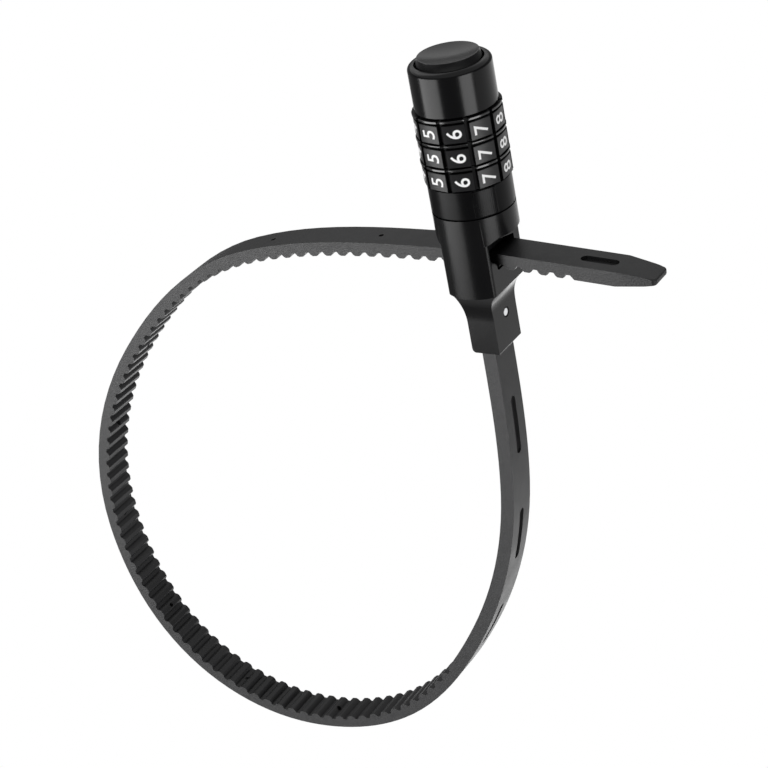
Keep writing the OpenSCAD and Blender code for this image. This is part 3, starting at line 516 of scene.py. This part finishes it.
@dataclass
class Strap:
    """The nylon strap with its steel core and the pin that holds its fixed end."""

    half_width: float = 4.3 * MM
    # The roundings
    edge_mm: float = 0.22
    outer_edge_mm: float = 0.5
    tip_corner_mm: float = 0.9
    tip_end_mm: float = 0.4
    pin_edge_mm: float = 0.25
    # Where the tip and its blunt end begin, and the least height of the tip's upright corners
    tip_start: float = 34.0 * MM
    tip_end_start: float = 43.0 * MM
    tip_half_width: float = 2.5 * MM
    tip_upright: float = 0.8 * MM
    # An edge along the strap keeps its Y within along_within, and lies beyond side_start at a side
    along_within: float = 0.1 * MM
    side_start: float = 3.2 * MM
    shortest_side_edge: float = 0.4 * MM
    shortest_outer_edge: float = 0.6 * MM
    ridge_shortfall: float = 0.6 * MM
    loop_middle: tuple[float, float, float] = (-55.0 * MM, 0.0, -65.0 * MM)
    # How square to Y the narrow sides and the broad faces stand
    narrow_above: float = 0.97
    broad_below: float = 0.2
    outward_above: float = 0.3

    def at_tip(self, edge: bmesh.types.BMEdge) -> bool:
        """Tells whether an edge is one of the upright corners of the strap's tip."""
        a, b = edge.verts[0].co, edge.verts[1].co
        at_corner = middle(edge).x > self.tip_start and abs(a.y) > self.tip_half_width
        return at_corner and abs(a.y - b.y) < self.along_within and (
            abs(a.z - b.z) > self.tip_upright)

    def at_side(self, edge: bmesh.types.BMEdge, shortest: float) -> bool:
        """Tells whether an edge lies at a side of the strap and is longer than a given length."""
        nearest = min(abs(corner.co.y) for corner in edge.verts)
        return nearest > self.side_start and edge.calc_length() > shortest

    def outer(self, edge: bmesh.types.BMEdge) -> bool:
        """Tells whether an edge is one of the long edges of the strap's outer face."""
        a, b = edge.verts[0].co, edge.verts[1].co
        along = abs(a.y - b.y) <= self.along_within
        if not along or not self.at_side(edge, self.shortest_outer_edge):
            return False
        away = middle(edge) - Vector(self.loop_middle)
        broad = min(edge.link_faces, key=lambda face: abs(face.normal.y))
        faces_out = broad.normal.dot(away.normalized()) > self.outward_above
        return abs(broad.normal.y) < self.broad_below and faces_out

    def rounded(self, edge: bmesh.types.BMEdge) -> bool:
        """Tells whether an edge belongs to the strap's long corners or to a tooth's ridge."""
        a, b = edge.verts[0].co, edge.verts[1].co
        ridge = abs(a.y - b.y) > 2 * self.half_width - self.ridge_shortfall
        return ridge or self.at_side(edge, self.shortest_side_edge)

    def build(self, shop: Workshop) -> None:
        """Builds the strap's pieces.

        Args:
            shop: Where pieces are made.
        """
        moulding = shop.softened("strap", "strap_moulding", (
            Rounding(self.tip_corner_mm, self.at_tip, 4),
            Rounding(self.tip_end_mm, lambda edge: middle(edge).x > self.tip_end_start, 3),
            Rounding(self.outer_edge_mm, self.outer, 4),
            Rounding(self.edge_mm, self.rounded)))
        shop.finish_piece(moulding, STRAP_NYLON, "lock_body")
        shop.finish_part(moulding, STRAP_SIDE,
                         lambda face: abs(face.normal.y) > self.narrow_above)
        shop.dress_node("strap_core", BAND_STEEL)
        pin = shop.softened("strap_pin", "strap_pin_ground", (
            Rounding(self.pin_edge_mm, lambda edge: True),))
        shop.finish_piece(pin, PIN_STEEL, "lock_body")


# ---------------------------------------------------------------- the head


@dataclass
class Head:
    """The lower housing with its tail, the collar with its index plate, and the cap."""

    # The roundings
    casting_edge_mm: float = 0.2
    fine_edge_mm: float = 0.1
    plate_edge_mm: float = 0.07
    button_edge_mm: float = 0.04
    button_smooth_below: float = 12.0
    # The upright corners beside the front flat, as drawn and as cast, up to the rim over the flat
    front_flat: float = 6.2 * MM
    drum_radius: float = 9.6 * MM
    corner_drawn: float = 2.0 * MM
    corner_cast: float = 1.1 * MM
    corner_top: float = 5.9 * MM
    turn_before: float = 1e-4
    turn_past: float = 1e-3
    # The button's rim, as drawn and as moulded
    rim_drawn: float = 6.5 * MM
    rim_moulded: float = 6.8 * MM
    button_radius: float = 7.0 * MM
    button_top: float = 47.48 * MM
    dish_bottom: float = 46.5 * MM
    button_edge_start: float = 46.9 * MM
    # Where the outside of each casting begins
    tail_top: float = -7.9 * MM
    tail_half_depth: float = 2.4 * MM
    tail_half_width: float = 4.8 * MM
    drum_outside: float = 9.3 * MM
    flat_outside: float = 6.0 * MM
    collar_outside: float = 9.2 * MM
    plate_outside: float = 9.65 * MM
    cap_foot: float = 35.8 * MM
    cap_shoulder: float = 45.9 * MM
    shortest_edge: float = 0.2 * MM
    shortest_tail_edge: float = 0.25 * MM

    def corner(self, radius: float) -> tuple[float, float, float]:
        """Returns the centre of the corner beside the front flat, and how far round it turns."""
        x = self.front_flat - radius
        y = math.sqrt((self.drum_radius - radius) ** 2 - x * x)
        return x, y, math.atan2(y, x)

    def tightened(self, spot: Vector) -> Vector:
        """Moves a point of the front corners' roundings to a tighter rounding."""
        x, y, turn = self.corner(self.corner_drawn)
        angle = math.atan2(abs(spot.y) - y, spot.x - x)
        off = abs(math.hypot(spot.x - x, abs(spot.y) - y) - self.corner_drawn)
        on_corner = spot.x >= x and off <= CLOSE and (
            -self.turn_before <= angle <= turn + self.turn_past)
        if not on_corner or spot.z > self.corner_top:
            return spot
        new_x, new_y, new_turn = self.corner(self.corner_cast)
        angle *= new_turn / turn
        side = math.copysign(new_y + self.corner_cast * math.sin(angle), spot.y)
        return Vector((new_x + self.corner_cast * math.cos(angle), side, spot.z))

    def crisp_rim(self, spot: Vector) -> Vector:
        """Moves the button's dish out to a narrow rim with a fine edge."""
        radius = off_axis(spot)
        if spot.z < self.dish_bottom or radius > self.button_radius + CLOSE:
            return spot
        if radius <= self.rim_drawn + CLOSE:
            return at_radius(spot, radius * self.rim_moulded / self.rim_drawn)
        share = (self.button_radius - self.rim_moulded) / (self.button_radius - self.rim_drawn)
        moved = at_radius(spot, self.button_radius - (self.button_radius - radius) * share)
        moved.z = self.button_top - (self.button_top - spot.z) * share
        return moved

    def outside(self, edge: bmesh.types.BMEdge) -> bool:
        """Tells whether an edge lies on the outside of the lower housing."""
        spot, length = middle(edge), edge.calc_length()
        on_tail = spot.z < self.tail_top and length > self.shortest_tail_edge and (
            abs(spot.x) > self.tail_half_depth or abs(spot.y) > self.tail_half_width)
        on_drum = off_axis(spot) > self.drum_outside
        on_flat = abs(spot.x) > self.flat_outside
        return length > self.shortest_edge and (on_tail or on_drum or on_flat)

    def at_cap_end(self, edge: bmesh.types.BMEdge) -> bool:
        """Tells whether an edge lies at the cap's foot or on its shoulder."""
        return not self.cap_foot <= middle(edge).z <= self.cap_shoulder

    def build(self, shop: Workshop) -> None:
        """Builds the head's castings.

        Args:
            shop: Where pieces are made.
        """
        housing = shop.softened("lower_housing", "lower_casting", (
            Rounding(self.casting_edge_mm, self.outside, 3),), trimmed=self.tightened)
        shop.finish_piece(housing, BLACK_LACQUER, "lock_body")
        collar = shop.softened("index_collar", "collar_ring", (
            Rounding(self.fine_edge_mm,
                     lambda edge: off_axis(middle(edge)) > self.collar_outside),))
        shop.finish_piece(collar, SATIN_LACQUER, "lock_body")
        plate = shop.softened("index_plate", "ribbed_plate", (
            Rounding(self.plate_edge_mm,
                     lambda edge: off_axis(middle(edge)) > self.plate_outside, 3),))
        shop.finish_piece(plate, PLATE_LACQUER, "lock_body")
        cap = shop.softened("cap", "cap_shell", (Rounding(self.fine_edge_mm, self.at_cap_end),))
        shop.finish_piece(cap, CAP_LACQUER, "lock_body")
        button = shop.softened("push_button", "button_moulding", (
            Rounding(self.button_edge_mm, lambda edge: middle(edge).z > self.button_edge_start),),
            self.button_smooth_below, self.crisp_rim)
        shop.finish_piece(button, BUTTON_ABS, "plunger")


# ---------------------------------------------------------------- the dials


@dataclass
class Dial:
    """One digit dial: a ring with a burnished flange, and ten domed pads with printed digits."""

    number: int
    bottom: float
    body: str
    height: float = 5.5 * MM
    # The flange on top: its rounding, its drawn chamfer, and where its outside begins
    flange_radius: float = 10.15 * MM
    flange_height: float = 0.45 * MM
    flange_edge_mm: float = 0.3
    flange_edge_start: float = 10.0 * MM
    chamfer_depth: float = 0.2 * MM
    chamfer_start: float = 9.9 * MM
    flange_outside: float = 9.7 * MM
    ring_edge_mm: float = 0.1
    ring_outside: float = 9.1 * MM
    # The pads, each a grid of faces with a short skirt behind its border
    first_groove: float = math.radians(4.4)
    pad_apothem: float = 9.75 * MM
    pad_low: float = 0.15 * MM
    pad_height: float = 4.3 * MM
    pad_half_width: float = 2.56 * MM
    pad_dome: float = 0.14 * MM
    pad_lift: float = 0.01 * MM
    pad_inset: float = 0.11 * MM
    pad_columns: int = 14
    pad_rows: int = 2
    skirt_depth: float = 0.2 * MM
    # The digits: how tall one stands as a share of the font's size, and the ink's thickness
    digit_height: float = 3.5 * MM
    digit_share: float = 0.73
    digit_weight: float = 0.012
    ink_half_thickness: float = 0.02 * MM
    ink_lift: float = 0.012 * MM
    slice_width: float = 0.24 * MM
    slices_aside: int = 8
    digit_weld: float = 0.0005 * MM
    first_digit: int = 6

    def dome(self, aside: float) -> float:
        """Returns how far a pad stands out at a distance beside its middle line."""
        return self.pad_dome * (1.0 - (aside / self.pad_half_width) ** 2) + self.pad_lift

    def squared(self, spot: Vector) -> Vector:
        """Moves the flange's chamfer out, so that the flange can be rounded in one sweep."""
        top = self.bottom + self.height
        if spot.z > top - self.chamfer_depth and off_axis(spot) > self.chamfer_start:
            return at_radius(spot, self.flange_radius)
        return spot

    def on_flange(self, face: bpy.types.MeshPolygon) -> bool:
        """Tells whether a face lies on the outside of the flange."""
        underside = self.bottom + self.height - self.flange_height
        return off_axis(face.center) > self.flange_outside and face.center.z > underside - CLOSE

    def on_flange_top(self, edge: bmesh.types.BMEdge) -> bool:
        """Tells whether an edge is the flange's upper outer edge."""
        spot = middle(edge)
        top = self.bottom + self.height
        return spot.z > top - 2 * CLOSE and off_axis(spot) > self.flange_edge_start

    def pad_middle(self, place: int) -> float:
        """Returns the angle of a pad's middle line, counted in pads from the first groove."""
        return self.first_groove + (place + 0.5) * 2 * math.pi / DIGITS

    def add_pad(self, shape: bmesh.types.BMesh, angle: float) -> None:
        """Adds one pad's domed face.

        Args:
            shape: The shape to add to.
            angle: Angle of the pad's middle line round the head.
        """
        low = self.bottom + self.pad_low + self.pad_inset
        high = self.bottom + self.pad_low + self.pad_height - self.pad_inset
        out = around_head(angle)
        along = Vector((math.cos(angle), math.sin(angle), 0.0))
        grid = []
        for i in range(self.pad_columns + 1):
            aside = self.pad_half_width * (2 * i / self.pad_columns - 1)
            column = []
            for j in range(self.pad_rows + 1):
                spot = out * (self.pad_apothem + self.dome(aside)) + along * aside
                spot.z = low + (high - low) * j / self.pad_rows
                column.append(shape.verts.new(spot))
            grid.append(column)
        for left, right in zip(grid, grid[1:]):
            for j in range(self.pad_rows):
                shape.faces.new((left[j], right[j], right[j + 1], left[j + 1]))

    def pads(self, shop: Workshop) -> bpy.types.Object:
        """Builds the coated faces of the ten pads, each gently domed round the dial.

        Args:
            shop: Where pieces are made.

        Returns:
            One piece with the ten pads.
        """
        shape = bmesh.new()
        for place in range(DIGITS):
            self.add_pad(shape, self.pad_middle(place))
        border = [edge for edge in shape.edges if len(edge.link_faces) == 1]
        skirt = bmesh.ops.extrude_edge_only(shape, edges=border)
        for corner in (item for item in skirt["geom"] if isinstance(item, bmesh.types.BMVert)):
            corner.co = at_radius(corner.co, off_axis(corner.co) - self.skirt_depth)
        return shop.new_piece(f"dial_{self.number}_pads", shape, 30.0)

    def flat_digit(self, digit: int) -> bpy.types.Mesh:
        """Draws a digit, lying flat and centred on the origin.

        Args:
            digit: The digit.

        Returns:
            Its mesh.
        """
        letters = bpy.data.curves.new("digit_outline", "FONT")
        letters.body = str(digit)
        letters.size = self.digit_height / self.digit_share
        letters.align_x = "CENTER"
        letters.align_y = "CENTER"
        letters.offset = self.digit_weight * self.digit_height
        letters.extrude = self.ink_half_thickness
        outline = bpy.data.objects.new("digit_outline", letters)
        bpy.context.scene.collection.objects.link(outline)
        bpy.context.view_layer.update()
        flat = bpy.data.meshes.new_from_object(outline)
        bpy.data.objects.remove(outline)
        bpy.data.curves.remove(letters)
        xs = [v.co.x for v in flat.vertices]
        ys = [v.co.y for v in flat.vertices]
        centre = Vector(((min(xs) + max(xs)) / 2, (min(ys) + max(ys)) / 2, 0.0))
        flat.transform(Matrix.Translation(-centre))
        return flat

    def bend_over_pad(self, flat: bpy.types.Mesh) -> None:
        """Slices a flat digit across and lays it on the pad's dome."""
        sliced = bmesh.new()
        sliced.from_mesh(flat)
        for i in range(-self.slices_aside, self.slices_aside + 1):
            bmesh.ops.bisect_plane(
                sliced, geom=sliced.verts[:] + sliced.edges[:] + sliced.faces[:], dist=1e-7,
                plane_co=(0.0, i * self.slice_width, 0.0), plane_no=(0.0, 1.0, 0.0))
        for corner in sliced.verts:
            corner.co.z += self.dome(corner.co.y) + self.ink_lift
        sliced.to_mesh(flat)
        sliced.free()

    def print_digits(self, shop: Workshop) -> bpy.types.Object:
        """Prints the digits on the pads, on their sides, each with its top to the lower number.

        Args:
            shop: Where pieces are made.

        Returns:
            One piece with the ten digits.
        """
        shape = bmesh.new()
        for digit in range(DIGITS):
            flat = self.flat_digit(digit)
            self.bend_over_pad(flat)
            # The pad behind the first groove carries the first digit
            angle = self.pad_middle(digit - self.first_digit)
            out = around_head(angle)
            up = -Vector((math.cos(angle), math.sin(angle), 0.0))
            centre = out * self.pad_apothem
            centre.z = self.bottom + self.pad_low + self.pad_height / 2
            flat.transform(placed(Vector((0.0, 0.0, 1.0)), up, out, centre))
            shape.from_mesh(flat)
            bpy.data.meshes.remove(flat)
        bmesh.ops.remove_doubles(shape, verts=shape.verts, dist=self.digit_weld)
        return shop.new_piece(f"dial_{self.number}_digits", shape, 20.0)

    def build(self, shop: Workshop) -> None:
        """Builds the dial's pieces.

        Args:
            shop: Where pieces are made.
        """
        ring = shop.softened(f"dial_{self.number}", f"dial_{self.number}_ring", (
            Rounding(self.flange_edge_mm, self.on_flange_top, 6),
            Rounding(self.ring_edge_mm, lambda edge: off_axis(middle(edge)) > self.ring_outside),
        ), trimmed=self.squared)
        # A darker, duller coat on the ring: a real dull coat, and partly painted shade in its
        # grooves and gaps
        shop.finish_piece(ring, DIAL_GROOVE_COAT_AND_SHADE, self.body)
        shop.finish_part(ring, DIAL_EDGE, self.on_flange)
        shop.finish_piece(self.pads(shop), DIAL_COAT, self.body)
        shop.finish_piece(self.print_digits(shop), DIGIT_INK, self.body)
        shop.dress_node(f"code_wheel_{self.number}", TURNED_BRASS)


# ---------------------------------------------------------------- the lock works


@dataclass(frozen=True)
class Coil:
    """A coil spring under a piece that comes down on it; the spring keeps its solid's shape."""

    node: str
    joint: str
    foot_mm: float
    stroke_mm: float

    def build(self, shop: Workshop) -> None:
        """Builds the spring.

        Args:
            shop: Where pieces are made.
        """
        wire = shop.softened(self.node, f"{self.node}_wire", ())
        shop.finish_piece(wire, SPRING_STEEL, "lock_body")
        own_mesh(wire)


@dataclass
class Works:
    """The pieces inside the head, which keep their solids and get their finishes."""

    springs: tuple[Coil, ...] = (
        Coil("button_spring", "press_button", 38.03, 1.6),
        Coil("pawl_spring", "lower_pawl", -6.9, 1.5),
    )

    finishes: dict[str, Finish] = field(default_factory=lambda: {
        "pawl": TOOL_STEEL,
        "release_fork": TOOL_STEEL,
        "spindle": TOOL_STEEL,
        "click_spring": SPRING_STEEL,
        "retaining_ring": SPRING_STEEL,
        "core_tube": RAW_ZINC,
        "cap_base": RAW_ZINC,
        "collar_screws": SCREW_STEEL,
        "dial_washers": WASHER_NYLON,
    })

    def build(self, shop: Workshop) -> None:
        """Dresses the inner pieces.

        Args:
            shop: Where pieces are made.
        """
        for node, finish in self.finishes.items():
            shop.dress_node(node, finish)
        for spring in self.springs:
            spring.build(shop)


# ---------------------------------------------------------------- studio


@dataclass(frozen=True)
class Camera:
    """The camera, as its angles round the origin and the origin's place in the picture."""

    azimuth: float = math.radians(35.66687)
    elevation: float = math.radians(27.14163)
    roll: float = math.radians(-11.42526)
    distance: float = 499.9453 * MM
    focal_px: float = 2200.12
    origin_px: tuple[float, float] = (481.640, 249.045)
    picture_px: float = 768.0
    sensor_mm: float = 36.0
    clip: tuple[float, float] = (0.01, 20.0)

    def axes(self) -> tuple[Vector, Vector, Vector]:
        """Returns the camera's right, up and backward directions."""
        back = direction(self.azimuth, self.elevation)
        level = Vector((math.cos(self.azimuth), math.sin(self.azimuth), 0.0))
        upright = back.cross(level)
        cosine, sine = math.cos(self.roll), math.sin(self.roll)
        return cosine * level + sine * upright, -sine * level + cosine * upright, back

    def build(self) -> bpy.types.Object:
        """Places the camera.

        Returns:
            The camera, set as the scene's.
        """
        right, up, back = self.axes()
        half = self.picture_px / 2
        off_right = (self.origin_px[0] - half) / self.focal_px * self.distance
        off_up = -(self.origin_px[1] - half) / self.focal_px * self.distance
        place = -off_right * right - off_up * up + self.distance * back
        data = bpy.data.cameras.new("studio_camera")
        data.sensor_fit = "HORIZONTAL"
        data.sensor_width = self.sensor_mm
        data.lens = self.focal_px * self.sensor_mm / self.picture_px
        data.clip_start, data.clip_end = self.clip
        camera = bpy.data.objects.new("studio_camera", data)
        camera.matrix_world = placed(right, up, back, place)
        bpy.context.scene.collection.objects.link(camera)
        bpy.context.scene.camera = camera
        return camera


@dataclass(frozen=True)
class Softbox:
    """A rectangular studio light, turned towards a point of the lock."""

    name: str
    azimuth: float
    elevation: float
    distance: float
    width: float
    height: float
    power: float
    target: tuple[float, float, float] = (0.0, 0.0, 0.02)

    def build(self) -> bpy.types.Object:
        """Places the light.

        Returns:
            The light.
        """
        way = direction(math.radians(self.azimuth), math.radians(self.elevation))
        data = bpy.data.lights.new(self.name, "AREA")
        data.shape = "RECTANGLE"
        data.size = self.width
        data.size_y = self.height
        data.energy = self.power
        lamp = bpy.data.objects.new(self.name, data)
        lamp.location = Vector(self.target) + way * self.distance
        lamp.rotation_euler = way.to_track_quat("Z", "Y").to_euler()
        bpy.context.scene.collection.objects.link(lamp)
        return lamp


@dataclass(frozen=True)
class Curtain:
    """A dark curtain round part of the studio, as is hung up for glossy things.

    It shows in gloss only.
    """

    name: str
    start: float
    end: float
    low: float
    high: float
    radius: float = 1.15
    colour: str = "#7a7a7a"
    folds: int = 16

    def build(self) -> bpy.types.Object:
        """Hangs the curtain between two angles round the lock.

        Returns:
            The curtain.
        """
        shape = bmesh.new()
        rows = []
        for i in range(self.folds + 1):
            turn = self.start + (self.end - self.start) * i / self.folds
            fold = around_head(math.radians(turn)) * self.radius
            rows.append([shape.verts.new(fold + Vector((0.0, 0.0, z)))
                         for z in (self.low, self.high)])
        for (a, b), (c, d) in zip(rows, rows[1:]):
            shape.faces.new((a, c, d, b))
        curtain = place_shape(self.name, shape)
        felt = bare_material(f"{self.name}_felt")
        tree = felt.node_tree
        dark = add_node(tree, "ShaderNodeEmission", {},
                        {"Color": linear(self.colour), "Strength": 1.0})
        add_node(tree, "ShaderNodeOutputMaterial", {}, {"Surface": dark.outputs[0]})
        curtain.data.materials.append(felt)
        curtain.visible_camera = False
        curtain.visible_diffuse = False
        curtain.visible_transmission = False
        curtain.visible_shadow = False
        return curtain


@dataclass
class Studio:
    """Floor, surroundings, lights, curtains and camera."""

    floor_level: float = -1.2
    floor_half_size: float = 4.0
    floor_colour: str = "#e9e9e9"
    surround_strength: float = 0.35
    camera: Camera = field(default_factory=Camera)
    lights: tuple[Softbox, ...] = (
        Softbox("strip_left", -37.0, -15.6, 0.9, 0.88, 0.325, 6.0),
        Softbox("strip_right", 68.0, -15.6, 0.9, 0.54, 0.325, 3.8),
        Softbox("low_rear", 195.0, -40.0, 0.9, 0.6, 0.4, 1.3),
        Softbox("overhead", -100.0, 55.0, 1.0, 0.7, 0.7, 2.0),
    )
    curtains: tuple[Curtain, ...] = (
        Curtain("curtain_front", -130.0, 92.0, -1.15, 0.4),
        Curtain("curtain_right", 92.0, 185.0, -0.25, 0.4),
        Curtain("curtain_left", -178.0, -130.0, -0.25, 0.42),
    )

    def white_seen(self, tree: bpy.types.NodeTree) -> bpy.types.NodeSocket:
        """Builds the test for rays that see the white surroundings.

        Args:
            tree: Node tree to add to.

        Returns:
            1 for camera, glossy and transmission rays, and 0 for the rest.
        """
        path = add_node(tree, "ShaderNodeLightPath")
        shiny = add_node(tree, "ShaderNodeMath", {"operation": "MAXIMUM"},
                         {0: path.outputs["Is Glossy Ray"], 1: path.outputs["Is Transmission Ray"]})
        seen = add_node(tree, "ShaderNodeMath", {"operation": "MAXIMUM"},
                        {0: path.outputs["Is Camera Ray"], 1: shiny.outputs[0]})
        return seen.outputs[0]

    def surround(self) -> None:
        """Makes the surroundings: white to the eye, a plain soft light on the lock."""
        world = bpy.data.worlds.new("studio_surround")
        bpy.context.scene.world = world
        world.use_nodes = True
        tree = world.node_tree
        tree.nodes.clear()
        plain = add_node(tree, "ShaderNodeBackground", {},
                         {"Color": linear("#ffffff"), "Strength": self.surround_strength})
        white = add_node(tree, "ShaderNodeBackground", {},
                         {"Color": linear("#ffffff"), "Strength": 1.0})
        mixed = add_node(tree, "ShaderNodeMixShader", {},
                         {0: self.white_seen(tree), 1: plain.outputs[0], 2: white.outputs[0]})
        add_node(tree, "ShaderNodeOutputWorld", {}, {"Surface": mixed.outputs[0]})

    def floor(self) -> None:
        """Lays a wide pale floor well below the lock."""
        shape = bmesh.new()
        bmesh.ops.create_grid(shape, x_segments=1, y_segments=1, size=self.floor_half_size)
        bmesh.ops.translate(shape, vec=(0.0, 0.0, self.floor_level), verts=shape.verts)
        floor = place_shape("studio_floor", shape)
        paint = bare_material("pale_floor")
        tree = paint.node_tree
        matt = add_node(tree, "ShaderNodeBsdfDiffuse", {}, {"Color": linear(self.floor_colour)})
        white = add_node(tree, "ShaderNodeEmission", {},
                         {"Color": linear("#ffffff"), "Strength": 1.0})
        mixed = add_node(tree, "ShaderNodeMixShader", {},
                         {0: self.white_seen(tree), 1: matt.outputs[0], 2: white.outputs[0]})
        add_node(tree, "ShaderNodeOutputMaterial", {}, {"Surface": mixed.outputs[0]})
        floor.data.materials.append(paint)

    def build(self) -> None:
        """Sets up the studio."""
        bpy.context.scene.view_settings.view_transform = "Standard"
        self.surround()
        self.floor()
        for light in self.lights:
            light.build()
        for curtain in self.curtains:
            curtain.build()
        self.camera.build()
        LOG.info("studio: %d lights, %d curtains", len(self.lights), len(self.curtains))


# ---------------------------------------------------------------- all of it


DIALS = (
    Dial(1, 29.88 * MM, "top_dial"),
    Dial(2, 24.18 * MM, "middle_dial"),
    Dial(3, 18.48 * MM, "bottom_dial"),
)


def main() -> None:
    """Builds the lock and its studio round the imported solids."""
    logging.basicConfig(level=logging.INFO, format="%(name)s: %(message)s")
    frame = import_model()
    shop = Workshop(frame["nodes"])
    Studio().build()
    Strap().build(shop)
    Head().build(shop)
    for dial in DIALS:
        dial.build(shop)
    Works().build(shop)
    LOG.info("%d pieces made", len(shop.made))


if __name__ == "__main__":
    main()
